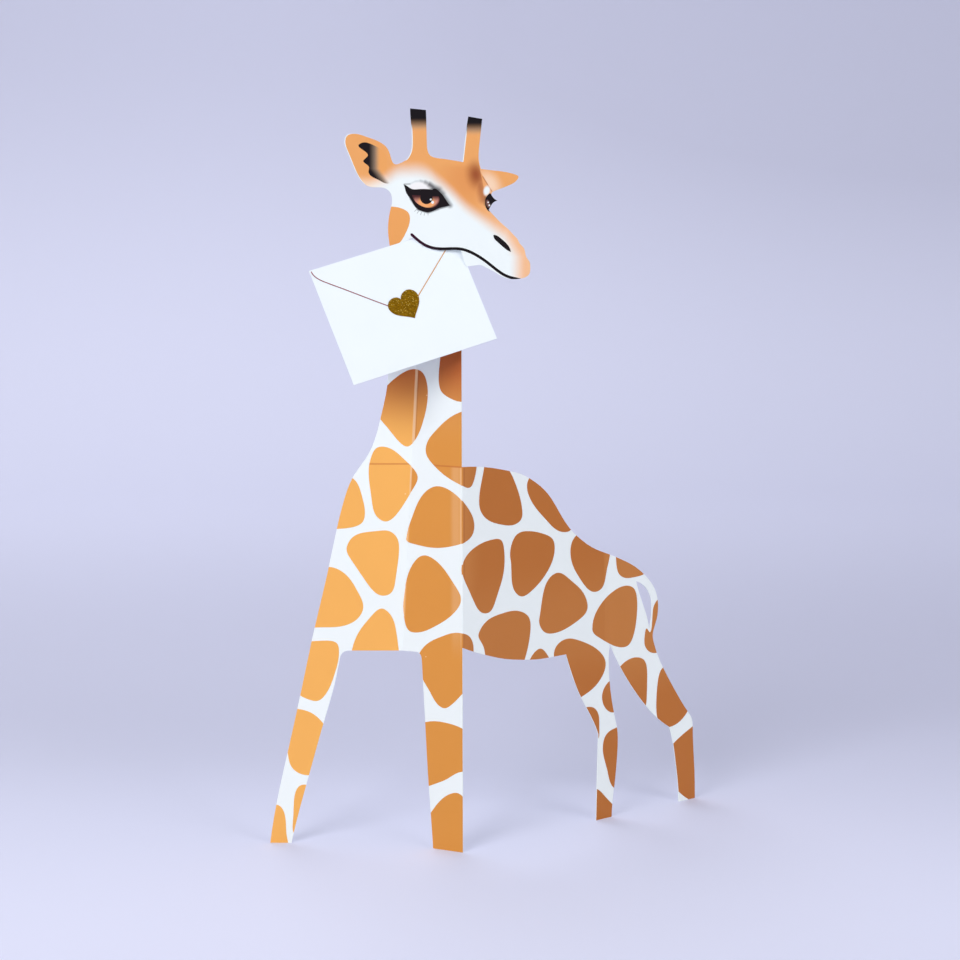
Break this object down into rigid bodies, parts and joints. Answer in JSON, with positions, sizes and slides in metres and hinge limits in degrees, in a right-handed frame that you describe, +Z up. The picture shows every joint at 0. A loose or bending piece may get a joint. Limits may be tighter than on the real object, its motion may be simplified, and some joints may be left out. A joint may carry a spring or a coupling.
{
  "type": "folded animal greeting card with mini letter",
  "caption": "Free-standing die-cut giraffe card folded from a sheet of board, with a mini letter tucked through the slit at its mouth.",
  "frame": {"origin": "on the ground, under the middle of the whole object's bounding box", "axes": "+Z up, -Y the way the face and chest look, +X towards the rump"},
  "size_m": [0.23, 0.1229, 0.3802],
  "materials": {
    "board": "semi-gloss coated white board",
    "letter_paper": "smooth white card",
    "coat_ink": "semi-gloss orange-tan print",
    "tan_ink": "semi-gloss tan print",
    "dark_ink": "semi-gloss near-black print",
    "iris_ink": "semi-gloss amber print",
    "foil": "thin rose-gold line",
    "gold_glitter": "gold glitter"
  },
  "bodies": {
    "root": {"card": "board", "letter": "letter_paper", "coat_spots": "coat_ink", "tan_face_print": "tan_ink", "dark_face_print": "dark_ink", "iris_print": "iris_ink", "flap_foil_lines": "foil", "heart_seal": "gold_glitter"}
  },
  "joints": []
}
